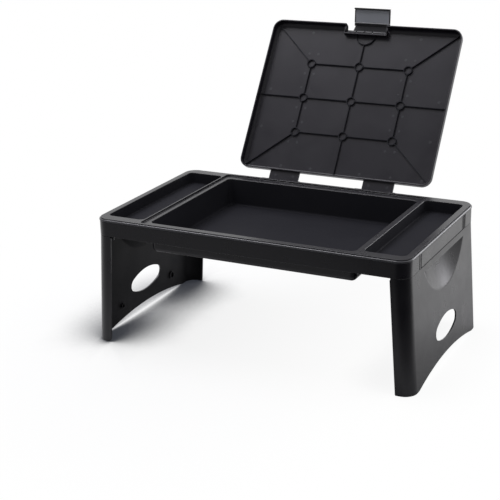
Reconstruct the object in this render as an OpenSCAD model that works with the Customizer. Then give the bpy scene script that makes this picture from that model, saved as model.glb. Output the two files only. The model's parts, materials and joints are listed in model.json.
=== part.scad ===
// Lap desk with a lift lid, a latch, two side trays and two folding legs.
// +X is the user's right, +Y is the hinge side and +Z is up.
// The origin is on the floor, in the middle of the open desk.

/* [Desk] */
// Width over the rolled rim
desk_w = 550; // [500:1:660]
// Depth over the rolled rim
desk_d = 325; // [280:1:390]
// Height of the rim above the floor
desk_h = 220; // [180:1:245]
// Height of the skirt, rim included
skirt_h = 30; // [24:0.5:32]
// Radius of the desk's corners, seen from above
corner_r = 22; // [16:0.5:30]
// Thickness of the mouldings
wall = 2.5; // [2:0.1:3]
// How far the rolled rim stands out from the skirt
rim_roll = 0.8; // [0.4:0.1:1.2]
// Length of the sunk panel on each side of the skirt
panel_l = 212; // [150:1:216]

/* [Well and side trays] */
// Width of the rim beside each side tray
rim_side = 13; // [10:0.5:16]
// Width of the rim in front of and behind the well
rim_end = 22; // [18:0.5:26]
// Clear width of the well
well_w = 362; // [300:1:380]
// Depth of the well below the rim
well_deep = 51; // [46:0.5:52]
// Inset of the well's foot on each side, from its draft
well_draft = 2.6; // [1:0.1:4]
// Radius of the well's bottom edge
well_fillet = 7.5; // [5:0.5:8]
// Depth of the side trays below the rim
tray_deep = 20; // [14:0.5:22]
// Corner radius of the well and the side trays
pocket_r = 9; // [8:0.5:12]
// Drop of the lid's seat below the rim
seat_drop = 3; // [2:0.5:4]
// Width of the seat beside the well
seat_side = 10.5; // [9:0.5:13]
// Width of the seat in front of and behind the well
seat_end = 14.5; // [13:0.5:16]

/* [Lid] */
// Height of the closed lid above its seat
lid_h = 16; // [13:0.5:19]
// Corner radius of the lid, seen from above
lid_r = 18; // [12:0.5:24]
// Radius of the lid's top edge
lid_edge = 8; // [4:0.5:9]
// Gap between the lid and its seat's sides
lid_gap_side = 6.5; // [3:0.5:7.5]
// Gap between the lid and its seat at the front
lid_gap_front = 4; // [3:0.5:7]
// Gap between the lid and its seat at the back
lid_gap_back = 10; // [8:0.5:11]
// Angle from closed to open
lid_open = 124.3; // [100:0.1:130]
// Width of each hinge tab
tab_w = 58; // [40:1:70]
// Distance from the middle to each hinge tab's middle
tab_x = 91; // [60:1:110]
// Spacing of the ring bosses along the width
ring_pitch_x = 95; // [75:1:110]
// Spacing of the ring bosses along the depth
ring_pitch_y = 68; // [50:1:80]

/* [Latch] */
// Width of the latch's front plate
latch_w = 70; // [50:1:80]
// Angle from latched to open
latch_open = 60; // [40:1:75]

/* [Legs] */
// Depth of the leg's front and back flanges
flange_d = 29; // [26:0.5:32]
// How far each leg leans outwards
splay = 3.5; // [1:0.1:5]
// Rise of the arch between the feet
arch_rise = 14.5; // [8:0.5:20]
// Length of each foot on the floor, from the desk's corner
foot_l = 32; // [28:0.5:45]
// Length of the hand hole
hole_l = 100; // [70:1:120]
// Height of the hand hole
hole_h = 41; // [32:1:46]
// Radius of the hand hole's ends
hole_end_r = 12; // [8:0.5:14]
// Height of the hand hole's middle above the floor
hole_z = 57; // [52:1:66]
// Distance of the hand hole from the leg's middle, towards the right leg's back
hole_y = 3.5; // [0:0.5:10]
// Width of the grip recess
grip_w = 188; // [140:1:200]
// Height of the grip recess
grip_h = 55; // [40:1:60]
// Depth of the grip recess
grip_deep = 20; // [12:0.5:22]
// Distance of the grip recess from the leg's middle, towards the right leg's back
grip_y = 5; // [0:0.5:10]
// Distance of the grip recess below the top of the leg
grip_drop = 12; // [8:0.5:16]

/* [Pins] */
// Diameter of the lid hinge pins
hinge_pin_d = 3; // [2.5:0.1:4]
// Diameter of the latch pin
latch_pin_d = 2.5; // [2:0.1:3]
// Diameter of the leg pins
leg_pin_d = 4; // [3:0.1:4.4]

/* [Hidden] */
$fn = 64;
plastic = [0.10, 0.10, 0.11];
steel = [0.72, 0.73, 0.75];

// Clearances: between moving parts, and on the radius of a turning pin
gap = 0.3;
pin_play = 0.05;
// Overlap that joins solids of one moulding, and overshoot of a cut
eps = 0.01;
over = 1;

// Skirt and levels
skirt_x = desk_w / 2 - rim_roll;
skirt_y = desk_d / 2 - rim_roll;
skirt_r = corner_r - rim_roll;
skirt_z = desk_h - skirt_h;
rim_h = 5;
rim_edge = 2.2;
seat_z = desk_h - seat_drop;
floor_z = desk_h - well_deep;

// Well, seat and side trays, as half sizes
pocket_y = desk_d / 2 - rim_end;
well_x = well_w / 2;
seat_x = well_x + seat_side;
seat_y = pocket_y + seat_end;
ridge_w = wall + 0.5;
tray_x0 = seat_x + ridge_w;
tray_x1 = desk_w / 2 - rim_side;
tray_z = desk_h - tray_deep;
panel_deep = 0.8;
panel_top = 6;
rib_w = 2;
rib_foot = 4;

// Lid, in its closed place
lid_x = seat_x - lid_gap_side;
lid_y0 = -seat_y + lid_gap_front;
lid_y1 = seat_y - lid_gap_back;
lid_mid_y = (lid_y0 + lid_y1) / 2;
lid_z0 = seat_z + gap;
lid_z1 = seat_z + lid_h;
ring_r = 8.4;
ring_wall = 1.8;
rib_t = 1.4;
rib_h = 3;
rib_z = lid_z1 - wall;

// Lid hinge
barrel_r = 4.5;
barrel_gap = 1.5;
hinge_drop = 7;
hinge_y = desk_d / 2 + barrel_gap + barrel_r;
hinge_z = desk_h - hinge_drop;
strap_t = 3;
strap_gap = 1;
strap_z = desk_h + strap_gap;
ear_w = 8;
ear_x = tab_w / 2 + gap;
heel_dz = 0.8 * barrel_r;
heel_dy = (hinge_y - skirt_y - gap - heel_dz * sin(lid_open)) / -cos(lid_open);
gusset_w = 3;
gusset_slant = 1;

// Latch, in its closed place
latch_r = 3.5;
latch_inset = 12.5;
latch_y = lid_y0 + latch_inset;
latch_z = lid_z1 - latch_r;
latch_t = 2;
border_t = 0.6;
border_w = 2;
cover_fall = 38;
cover_inset = 2;
cover_w = latch_w - 2 * cover_inset;
notch_side = 4.5;
notch_x = latch_w / 2 + notch_side;
notch_rib_h = 12;
bow_r = 19;
rim_gap = 0.7;
latch_out = desk_d / 2 + rim_gap + border_t + latch_t;
shoulder_z = desk_h + rim_gap;
crest_y = -latch_out + (lid_z1 - shoulder_z) / tan(cover_fall);
inner_shoulder_z = shoulder_z - latch_t * tan((90 - cover_fall) / 2);
ridge_gap = 2.2;
ridge_z = desk_h - rim_h - ridge_gap;
ridge_h = 1.6;
hook_gap = 1.4;
hook_reach = 1.5;
hook_t = 2.2;

// Middle of the open desk along Y, from the points furthest back: the hook, the plate and the lid's edge
turned = function(p, about, a) about + [[cos(a), -sin(a)], [sin(a), cos(a)]] * (p - about);
opened = function(p) turned(p, [hinge_y, hinge_z], -lid_open);
latch_opened = function(p) opened(turned(p, [latch_y, latch_z], -latch_open));
back_y = max(
    latch_opened([-latch_out, skirt_z - hook_gap - hook_t])[0],
    latch_opened([-latch_out, shoulder_z])[0],
    opened([lid_y0 + lid_edge, lid_z1 - lid_edge])[0] + lid_edge);
mid_y = (back_y - desk_d / 2) / 2;

// Legs, before they lean
leg_out = skirt_x;
leg_in = leg_out - flange_d;
knuckle_r = 4.2;
leg_top = skirt_z - gap;
pivot_z = leg_top - knuckle_r;
fold_gap = 0.5;
pivot_x = leg_in + skirt_z - fold_gap - pivot_z;
knuckle_t = 3.6;
lug_t = 4.2;
lug_r = 5.5;
lug_y1 = skirt_y - wall - knuckle_t - gap;
lug_y0 = lug_y1 - lug_t;
leg_pin_tip = 1;
leg_pin_skin = 1;
arch_half = desk_d / 2 - foot_l;
arch_r = (arch_half * arch_half + arch_rise * arch_rise) / (2 * arch_rise);
grip_z = leg_top - grip_drop;
grip_arc_r = (grip_w * grip_w / 4 + grip_h * grip_h) / (2 * grip_h);
grip_up = grip_arc_r - grip_h;
grip_h0 = (grip_arc_r * grip_arc_r - grip_up * grip_up - grip_deep * grip_deep) / (2 * grip_deep);
grip_r = sqrt(grip_h0 * grip_h0 + grip_arc_r * grip_arc_r);

// A rectangle with round corners, centred
module round_rect(x, y, r) {
    square([x, y - 2 * r], center = true);
    square([x - 2 * r, y], center = true);
    for (sx = [-1, 1], sy = [-1, 1])
        translate([sx * (x / 2 - r), sy * (y / 2 - r)]) circle(r);
}

// A plate with round corners that stands on z = 0
module round_plate(x, y, r, h) {
    linear_extrude(h) round_rect(x, y, r);
}

// Half the outline of a tub: the side leans in by draft towards z = 0 and ends in a round edge
module tub_side(r, h, draft, edge) {
    lean = atan(draft / h);
    turn_x = r - draft + edge * (tan(lean) - 1 / cos(lean));
    round_end = [turn_x + edge * cos(lean), edge - edge * sin(lean)];
    polygon([[0, 0], [turn_x, 0], [turn_x, edge], round_end, [r, h], [0, h]]);
    intersection() {
        translate([turn_x, edge]) circle(edge);
        square([r, h]);
    }
}

// A block with round corners whose sides lean in by draft towards z = 0, with a round bottom edge
module tub(x, y, r, h, draft, edge) {
    for (sx = [-1, 1], sy = [-1, 1]) translate([sx * (x / 2 - r), sy * (y / 2 - r), 0])
        rotate_extrude() tub_side(r, h, draft, edge);
    along_y(r - y / 2, y / 2 - r) for (m = [0, 1]) mirror([m, 0]) {
        translate([x / 2 - r, 0]) tub_side(r, h, draft, edge);
        square([x / 2 - r + eps, h]);
    }
    along_x(x - 2 * r) for (m = [0, 1]) mirror([m, 0]) {
        translate([y / 2 - r, 0]) tub_side(r, h, draft, edge);
        square([y / 2 - r + eps, h]);
    }
}

// Extrudes a (y, z) outline along X, centred
module along_x(l) {
    rotate([90, 0, 90]) translate([0, 0, -l / 2]) linear_extrude(l) children();
}

// Extrudes an (x, z) outline along Y, from y0 to y1
module along_y(y0, y1) {
    translate([0, y1, 0]) rotate([90, 0, 0]) linear_extrude(y1 - y0) children();
}

module rod_x(r, l) {
    rotate([0, 90, 0]) cylinder(r = r, h = l, center = true);
}

module rod_y(r, y0, y1) {
    translate([0, y1, 0]) rotate([90, 0, 0]) cylinder(r = r, h = y1 - y0);
}

// Moves the tray's frame so that the open desk is centred on the origin
module centred() {
    translate([0, -mid_y, 0]) children();
}

// Turns the closed lid's frame to its open place
module on_open_lid() {
    translate([0, hinge_y, hinge_z]) rotate([-lid_open, 0, 0])
        translate([0, -hinge_y, -hinge_z]) children();
}

// Turns the latched latch's frame to its open place on the lid
module on_open_latch() {
    translate([0, latch_y, latch_z]) rotate([-latch_open, 0, 0])
        translate([0, -latch_y, -latch_z]) children();
}

// Leans the upright right leg's frame outwards
module on_leaning_leg() {
    translate([pivot_x, 0, pivot_z]) rotate([0, -splay, 0])
        translate([-pivot_x, 0, -pivot_z]) children();
}

// The ear that carries one end of a lid hinge pin
module hinge_ear() {
    along_x(ear_w) {
        translate([hinge_y, hinge_z]) circle(barrel_r);
        translate([skirt_y - wall / 2, hinge_z - barrel_r])
            square([hinge_y - skirt_y + wall / 2, 2 * barrel_r]);
    }
}

// The lug under the rim that carries one leg pin, at the back on the right
module leg_lug() {
    along_y(lug_y0, lug_y1) {
        translate([pivot_x, pivot_z]) circle(lug_r);
        translate([pivot_x - lug_r, pivot_z]) square([2 * lug_r, desk_h - wall / 2 - pivot_z]);
    }
    translate([pivot_x - lug_r, lug_y1 - eps, skirt_z + rib_foot])
        cube([2 * lug_r, skirt_y - wall / 2 - lug_y1, skirt_h - rib_foot - wall / 2]);
}

// Stiffening ribs between the skirt, the well and the side trays
module deck_ribs() {
    rib_z0 = skirt_z + rib_foot;
    rib_high = seat_z - wall / 2 - rib_z0;
    for (sy = [-1, 1], x = [-0.75, -0.25, 0.25, 0.75])
        translate([x * well_x - rib_w / 2, sy > 0 ? pocket_y + wall / 2 : -skirt_y + wall / 2, rib_z0])
            cube([rib_w, skirt_y - pocket_y - wall, rib_high]);
    for (sx = [-1, 1], y = [-0.6, 0, 0.6]) {
        translate([sx > 0 ? well_x + wall / 2 : -tray_x0 + wall / 2, y * pocket_y - rib_w / 2, tray_z])
            cube([tray_x0 - well_x - wall, rib_w, seat_z - tray_z - wall / 2]);
        translate([sx > 0 ? tray_x1 + wall / 2 : -skirt_x + wall / 2, y * pocket_y - rib_w / 2, rib_z0])
            cube([skirt_x - tray_x1 - wall, rib_w, rib_high]);
    }
}

module tray() {
    tray_w = tray_x1 - tray_x0;
    tray_mid = (tray_x0 + tray_x1) / 2;
    color(plastic) centred() difference() {
        union() {
            difference() {
                union() {
                    translate([0, 0, skirt_z])
                        round_plate(2 * skirt_x, 2 * skirt_y, skirt_r, skirt_h - rim_edge);
                    translate([0, 0, desk_h]) mirror([0, 0, 1])
                        tub(desk_w, desk_d, corner_r, rim_h, 0, rim_edge);
                }
                translate([0, 0, skirt_z - over])
                    round_plate(2 * (skirt_x - wall), 2 * (skirt_y - wall), skirt_r - wall,
                        skirt_h - wall + over);
            }
            translate([0, 0, seat_z - wall])
                round_plate(2 * (seat_x + wall), 2 * (seat_y + wall), pocket_r, wall + over);
            translate([0, 0, floor_z - wall])
                tub(well_w + 2 * wall, 2 * (pocket_y + wall), pocket_r + wall,
                    seat_z - floor_z + wall - eps, well_draft, well_fillet);
            for (sx = [-1, 1]) translate([sx * tray_mid, 0, tray_z - wall])
                round_plate(tray_w + 2 * wall, 2 * (pocket_y + wall), pocket_r + wall,
                    tray_deep + wall - eps);
            for (sx = [-1, 1], e = [-1, 1])
                translate([sx * tab_x + e * (ear_x + ear_w / 2), 0, 0]) hinge_ear();
            for (mx = [0, 1], my = [0, 1]) mirror([mx, 0, 0]) mirror([0, my, 0]) leg_lug();
            deck_ribs();
        }
        translate([0, 0, seat_z])
            round_plate(2 * seat_x, 2 * seat_y, pocket_r - wall, seat_drop + over);
        translate([0, 0, floor_z])
            tub(well_w, 2 * pocket_y, pocket_r, seat_z - floor_z + over, well_draft, well_fillet - wall);
        for (sx = [-1, 1]) translate([sx * tray_mid, 0, tray_z])
            round_plate(tray_w, 2 * pocket_y, pocket_r, tray_deep + over);
        for (sx = [-1, 1]) translate([sx * skirt_x, 0, 0])
            translate([-panel_deep, -panel_l / 2, skirt_z - over])
                cube([2 * panel_deep, panel_l, skirt_h - panel_top + over]);
        for (sx = [-1, 1]) translate([sx * tab_x, hinge_y, hinge_z])
            rod_x(hinge_pin_d / 2, 2 * (ear_x + ear_w + over));
        for (mx = [0, 1], my = [0, 1]) mirror([mx, 0, 0]) mirror([0, my, 0])
            translate([pivot_x, 0, pivot_z])
                rod_y(leg_pin_d / 2 + pin_play, lug_y0 - over, lug_y1 + over);
    }
}

// One hinge tab: a strap over the back rim, a drop behind it, the barrel and the heel that stops the lid
module hinge_tab() {
    drop_y = hinge_y + barrel_r - strap_t;
    along_x(tab_w) {
        translate([hinge_y, hinge_z]) circle(barrel_r);
        translate([lid_y1 - wall / 2, strap_z]) square([hinge_y + barrel_r - lid_y1 + wall / 2, strap_t]);
        translate([drop_y, hinge_z]) square([strap_t, strap_z + strap_t - hinge_z]);
        translate([hinge_y, hinge_z - heel_dz]) square([heel_dy, heel_dz]);
    }
    for (e = [-1, 1]) translate([e * (tab_w - gusset_w) / 2, 0, 0]) along_x(gusset_w)
        polygon([[hinge_y, hinge_z], [hinge_y - gusset_slant, strap_z + eps], [drop_y + eps, strap_z + eps],
            [drop_y + eps, hinge_z]]);
}

// The plan of a thin rib between two points
module lid_rib(a, b) {
    way = (b - a) / norm(b - a);
    side = [-way[1], way[0]] * rib_t / 2;
    polygon([a + side, b + side, b - side, a - side]);
}

// The plan of the ring bosses and the ribs that join them to each other and to the lid's edges
module lid_rib_plan() {
    at = function(i, j) [i * ring_pitch_x, lid_mid_y + j * ring_pitch_y];
    reach = ring_r - ring_wall / 2;
    inner_x = lid_x - wall / 2;
    corner = lid_r * (1 - cos(45)) + wall / 2;
    for (i = [-1, 0, 1], j = [-1, 0, 1]) translate(at(i, j)) difference() {
        circle(ring_r);
        circle(ring_r - ring_wall);
    }
    for (j = [-1, 0, 1], i = [-1, 0]) lid_rib(at(i, j) + [reach, 0], at(i + 1, j) - [reach, 0]);
    for (i = [-1, 0, 1], j = [-1, 0]) lid_rib(at(i, j) + [0, reach], at(i, j + 1) - [0, reach]);
    for (i = [-1, 1]) lid_rib(at(i, 0) + [i * reach, 0], [i * inner_x, lid_mid_y]);
    lid_rib(at(0, 1) + [0, reach], [0, lid_y1 - wall / 2]);
    lid_rib([0, latch_y + latch_r + bow_r], at(0, -1) - [0, reach]);
    for (i = [-1, 1], j = [-1, 1]) {
        from = at(i, j);
        to = [i * (lid_x - corner), j < 0 ? lid_y0 + corner : lid_y1 - corner];
        lid_rib(from + (to - from) / norm(to - from) * reach, to);
    }
}

module lid_ribs() {
    translate([0, 0, rib_z - rib_h]) linear_extrude(rib_h + eps) lid_rib_plan();
}

// The closed lid's outside, made solid
module lid_block() {
    translate([0, lid_mid_y, lid_z1]) mirror([0, 0, 1])
        tub(2 * lid_x, lid_y1 - lid_y0, lid_r, lid_z1 - lid_z0, 0, lid_edge);
}

// The walls round the latch's notch and the bow-shaped rib behind it
module notch_ribs() {
    rib_y = latch_y + latch_r + gap;
    translate([-notch_x - wall, rib_y, lid_z1 - notch_rib_h])
        cube([2 * (notch_x + wall), wall, notch_rib_h - eps]);
    intersection() {
        lid_block();
        for (e = [-1, 1]) translate([e * (notch_x + wall / 2), 0, lid_z1 - notch_rib_h])
            translate([-wall / 2, lid_y0 - over, 0])
                cube([wall, rib_y - lid_y0 + over + eps, notch_rib_h + over]);
    }
    translate([0, rib_y + wall / 2, rib_z - rib_h]) intersection() {
        difference() {
            cylinder(r = bow_r, h = rib_h + eps);
            translate([0, 0, -over]) cylinder(r = bow_r - rib_t, h = rib_h + 3 * over);
        }
        translate([-bow_r, 0, 0]) cube([2 * bow_r, bow_r, rib_h + eps]);
    }
}

// The ears that hold the ends of the latch pin
module latch_ears() {
    ear = notch_x - cover_w / 2 - gap;
    for (e = [-1, 1]) translate([e * (notch_x - ear / 2 + eps), 0, 0]) along_x(ear) {
        translate([latch_y, latch_z]) circle(latch_r);
        translate([latch_y, latch_z - latch_r]) square([latch_r + gap + eps, 2 * latch_r]);
    }
}

// The outline cut from the lid for the latch's barrel, and for its cover where that leans back
module latch_pocket() {
    pocket = latch_r + gap;
    out = [cos(90 - latch_open), sin(90 - latch_open)];
    circle(pocket);
    polygon([[0, 0], out * pocket, out * pocket + [-out[1], out[0]] * 2 * pocket, [0, 2 * pocket]]);
}

module lid() {
    inner_w = 2 * (lid_x - wall);
    inner_l = lid_y1 - lid_y0 - 2 * wall;
    high = lid_z1 - lid_z0;
    color(plastic) centred() on_open_lid() difference() {
        union() {
            difference() {
                union() {
                    difference() {
                        lid_block();
                        translate([0, lid_mid_y, lid_z1 - wall]) mirror([0, 0, 1])
                            tub(inner_w, inner_l, lid_r - wall, high - wall + over, 0, lid_edge - wall);
                    }
                    lid_ribs();
                }
                translate([-notch_x, lid_y0 - over, lid_z0 - over])
                    cube([2 * notch_x, latch_y - lid_y0 + over, high + 2 * over]);
            }
            notch_ribs();
            latch_ears();
            for (sx = [-1, 1]) translate([sx * tab_x, 0, 0]) hinge_tab();
        }
        along_x(cover_w + 2 * gap) translate([latch_y, latch_z]) latch_pocket();
        translate([0, latch_y, latch_z]) rod_x(latch_pin_d / 2, 2 * (notch_x + wall) + over);
        for (sx = [-1, 1]) translate([sx * tab_x, hinge_y, hinge_z])
            rod_x(hinge_pin_d / 2 + pin_play, tab_w + over);
    }
}

// The latch: a barrel, a cover that slopes over the rim and a bordered plate with a hook under the skirt
module latch() {
    foot_z = skirt_z - hook_gap - hook_t;
    plate_y = -latch_out + latch_t;
    outline = [[latch_y, lid_z1], [crest_y, lid_z1], [-latch_out, shoulder_z], [-latch_out, foot_z],
        [plate_y, foot_z], [plate_y, inner_shoulder_z],
        [crest_y + latch_t * tan(cover_fall / 2), lid_z1 - latch_t], [latch_y, lid_z1 - latch_t]];
    color(plastic) centred() on_open_lid() on_open_latch() difference() {
        union() {
            along_x(cover_w) {
                translate([latch_y, latch_z]) circle(latch_r);
                polygon(outline);
            }
            along_x(latch_w) {
                translate([-latch_out, foot_z]) square([latch_t, inner_shoulder_z - foot_z]);
                translate([-latch_out, foot_z]) square([latch_out - skirt_y + hook_reach, hook_t]);
                translate([plate_y - eps, ridge_z]) square([border_t + eps, ridge_h]);
            }
            for (e = [-1, 1]) translate([e * (latch_w - border_w) / 2, 0, 0]) along_x(border_w)
                translate([plate_y - eps, foot_z]) square([border_t + eps, ridge_z - foot_z]);
        }
        translate([0, latch_y, latch_z]) rod_x(latch_pin_d / 2 + pin_play, latch_w + over);
    }
}

module latch_pin() {
    color(steel) centred() on_open_lid() translate([0, latch_y, latch_z])
        rod_x(latch_pin_d / 2, 2 * notch_x);
}

module right_hinge_pin() {
    color(steel) centred() translate([tab_x, hinge_y, hinge_z])
        rod_x(hinge_pin_d / 2, 2 * (ear_x + ear_w));
}

module left_hinge_pin() {
    mirror([1, 0, 0]) right_hinge_pin();
}

// An oval from four arcs, centred, its long way along the first axis
module oval(l, h, end_r) {
    a = l / 2 - end_r;
    b = h / 2 - end_r;
    k = (a * a - b * b) / (2 * b);
    big = k + h / 2;
    touch = a * big / (big - end_r);
    intersection() {
        translate([0, -k]) circle(big, $fn = 180);
        translate([0, k]) circle(big, $fn = 180);
        square([2 * touch, h], center = true);
    }
    for (s = [-1, 1]) translate([s * a, 0]) circle(end_r);
}

// The upright right leg, with its foot left long and its top left high
module upright_leg() {
    long = 20;
    high = skirt_z + 2 * long;
    difference() {
        union() {
            translate([0, 0, -long]) intersection() {
                difference() {
                    round_plate(2 * leg_out, 2 * skirt_y, skirt_r, high);
                    translate([0, 0, -over])
                        round_plate(2 * (leg_out - wall), 2 * (skirt_y - wall), skirt_r - wall,
                            high + 2 * over);
                }
                translate([leg_in, -desk_d, -over]) cube([2 * flange_d, 2 * desk_d, high + 2 * over]);
            }
            for (my = [0, 1]) mirror([0, my, 0]) translate([pivot_x, 0, pivot_z])
                rod_y(knuckle_r, skirt_y - wall - knuckle_t, skirt_y - wall / 2);
            intersection() {
                translate([leg_out + grip_h0, grip_y, grip_z + grip_up]) sphere(grip_r + wall, $fn = 180);
                translate([leg_in, grip_y - grip_w / 2 - 2 * wall, grip_z - grip_h - 2 * wall])
                    cube([flange_d - wall / 2, grip_w + 4 * wall, grip_h + 3 * wall]);
            }
        }
        intersection() {
            translate([leg_out + grip_h0, grip_y, grip_z + grip_up]) sphere(grip_r, $fn = 180);
            translate([leg_in - over, -desk_d / 2, grip_z - grip_h - over])
                cube([flange_d + 2 * over, desk_d, grip_h + over]);
        }
        along_x(3 * desk_w) translate([hole_y, hole_z]) oval(hole_l, hole_h, hole_end_r);
        for (my = [0, 1]) mirror([0, my, 0]) {
            translate([pivot_x, 0, pivot_z])
                rod_y(leg_pin_d / 2, skirt_y - wall - knuckle_t - over, skirt_y - leg_pin_skin);
            along_y(skirt_y - wall - knuckle_t - over, skirt_y + over) difference() {
                translate([leg_in - over, pivot_z]) square([pivot_x - leg_in + over, 3 * knuckle_r]);
                translate([pivot_x, pivot_z]) circle(knuckle_r);
            }
        }
    }
}

module right_leg() {
    color(plastic) centred() leg();
}

// The left leg is the same moulding turned round
module left_leg() {
    color(plastic) centred() rotate([0, 0, 180]) leg();
}

// The leaning right leg, about the tray's own middle
module leg() {
    difference() {
        on_leaning_leg() upright_leg();
        translate([-desk_w, -desk_d, leg_top]) cube([2 * desk_w, 2 * desk_d, skirt_h + desk_h]);
        translate([-desk_w, -desk_d, -desk_h]) cube([2 * desk_w, 2 * desk_d, desk_h]);
        translate([0, 0, arch_rise - arch_r]) rotate([0, 90, 0])
            cylinder(r = arch_r, h = desk_w, $fn = 360);
    }
}

// The back right leg pin, about the tray's own middle
module leg_pin() {
    on_leaning_leg() translate([pivot_x, 0, pivot_z])
        rod_y(leg_pin_d / 2, lug_y0 - leg_pin_tip, skirt_y - leg_pin_skin);
}

module right_back_leg_pin() {
    color(steel) centred() leg_pin();
}

module left_back_leg_pin() {
    mirror([1, 0, 0]) right_back_leg_pin();
}

module right_front_leg_pin() {
    color(steel) centred() mirror([0, 1, 0]) leg_pin();
}

module left_front_leg_pin() {
    mirror([1, 0, 0]) right_front_leg_pin();
}

tray();
lid();
latch();
latch_pin();
left_hinge_pin();
right_hinge_pin();
left_leg();
right_leg();
left_front_leg_pin();
left_back_leg_pin();
right_front_leg_pin();
right_back_leg_pin();
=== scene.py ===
import bmesh
import bpy
import json
import math
from mathutils import Matrix, Vector

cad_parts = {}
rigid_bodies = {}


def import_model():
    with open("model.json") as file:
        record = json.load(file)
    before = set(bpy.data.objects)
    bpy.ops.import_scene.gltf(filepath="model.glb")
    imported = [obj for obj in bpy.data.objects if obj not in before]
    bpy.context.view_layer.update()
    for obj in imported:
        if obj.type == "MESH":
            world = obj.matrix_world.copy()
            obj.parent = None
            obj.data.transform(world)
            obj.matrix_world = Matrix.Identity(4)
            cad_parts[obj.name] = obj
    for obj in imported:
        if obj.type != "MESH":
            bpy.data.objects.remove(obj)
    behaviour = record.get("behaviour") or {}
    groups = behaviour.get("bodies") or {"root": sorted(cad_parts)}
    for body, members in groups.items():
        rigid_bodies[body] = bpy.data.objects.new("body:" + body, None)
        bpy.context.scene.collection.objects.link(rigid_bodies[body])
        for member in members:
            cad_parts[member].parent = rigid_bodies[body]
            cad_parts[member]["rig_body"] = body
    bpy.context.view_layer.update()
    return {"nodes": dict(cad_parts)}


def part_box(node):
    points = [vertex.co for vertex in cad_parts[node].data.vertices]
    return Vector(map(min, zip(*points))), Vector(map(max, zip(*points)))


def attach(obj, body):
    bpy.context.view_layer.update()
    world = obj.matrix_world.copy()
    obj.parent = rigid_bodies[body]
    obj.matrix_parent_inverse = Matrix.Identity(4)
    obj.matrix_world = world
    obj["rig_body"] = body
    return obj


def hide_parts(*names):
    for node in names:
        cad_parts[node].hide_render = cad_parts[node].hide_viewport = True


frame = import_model()

# Camera: the photograph's own viewpoint, right of the front and above the rim.
# Its place was settled from the edges of the tray, the legs and the lid.
TRAY_HALF_DEPTH = 162.5
TRAY_MIDDLE_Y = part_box("tray")[0].y * 1000 + TRAY_HALF_DEPTH
CAMERA_AZIMUTH = math.radians(27.21)
CAMERA_ELEVATION = math.radians(19.28)
CAMERA_ROLL = math.radians(-1.36)
CAMERA_DISTANCE = 2.18316
CAMERA_TARGET = Vector((-0.07043, TRAY_MIDDLE_Y / 1000 + 0.00097, 0.13903))
CAMERA_LENS = 91.73

away = Vector((
    math.sin(CAMERA_AZIMUTH) * math.cos(CAMERA_ELEVATION),
    -math.cos(CAMERA_AZIMUTH) * math.cos(CAMERA_ELEVATION),
    math.sin(CAMERA_ELEVATION),
))
level = Vector((math.cos(CAMERA_AZIMUTH), math.sin(CAMERA_AZIMUTH), 0))
upward = away.cross(level)
camera_right = math.cos(CAMERA_ROLL) * level + math.sin(CAMERA_ROLL) * upward
camera_up = math.cos(CAMERA_ROLL) * upward - math.sin(CAMERA_ROLL) * level
turn = Matrix((camera_right, camera_up, away)).transposed()
camera = bpy.data.objects.new("camera", bpy.data.cameras.new("camera"))
camera.matrix_world = Matrix.Translation(CAMERA_TARGET + away * CAMERA_DISTANCE) @ turn.to_4x4()
camera.data.lens = CAMERA_LENS
camera.data.sensor_width = 36
camera.data.clip_end = 60
bpy.context.collection.objects.link(camera)
bpy.context.scene.camera = camera


def srgb(code):
    """A hex colour as linear RGBA."""
    channels = [int(code[i:i + 2], 16) / 255 for i in (0, 2, 4)]
    linear = [c / 12.92 if c <= 0.04045 else ((c + 0.055) / 1.055) ** 2.4 for c in channels]
    return (*linear, 1)


def add_node(tree, kind, settings=None, links=None):
    """Adds a node to a tree, with its properties and input values, and the sockets that feed its inputs."""
    node = tree.nodes.new(kind)
    for name, value in (settings or {}).items():
        if isinstance(name, str) and hasattr(node, name):
            setattr(node, name, value)
        else:
            node.inputs[name].default_value = value
    for name, socket in (links or {}).items():
        tree.links.new(socket, node.inputs[name])
    return node


# Studio: a seamless white floor and backdrop, one softbox above at the left and one low behind at the right.
# The room is dim in front, so that the skirt stays dark while the rims and the right leg take a sheen.
# The camera sees the floor close to white, with a painted soft shadow of the desk on it.
FRONT_LEVEL, BACK_LEVEL, CEILING_LEVEL = 0.31, 0.92, 0.4
PAINTED_DARK_LEVEL = 0.08
FLOOR_NEAR, FLOOR_FAR = 0.3, 0.75
SHADOW_REACH, SHADOW_SHARE, SHADOW_FALLOFF = 0.16, 0.15, 1.3
SHADOW_FULL, SHADOW_GONE = 0.57, 0.92
PAINTED_SHADOW_RIGHT = 0.04
floor_material = bpy.data.materials.new("white studio floor")
floor_material.use_nodes = True
tree = floor_material.node_tree
tree.nodes.clear()
place = add_node(tree, "ShaderNodeTexCoord")
across = add_node(tree, "ShaderNodeSeparateXYZ", {}, {0: place.outputs["Object"]})
spread = add_node(tree, "ShaderNodeVectorMath", {"operation": "LENGTH"}, {0: place.outputs["Object"]})
far = add_node(tree, "ShaderNodeMapRange",
               {"interpolation_type": "SMOOTHSTEP", "From Min": FLOOR_NEAR, "From Max": FLOOR_FAR},
               {"Value": spread.outputs["Value"]})
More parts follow.
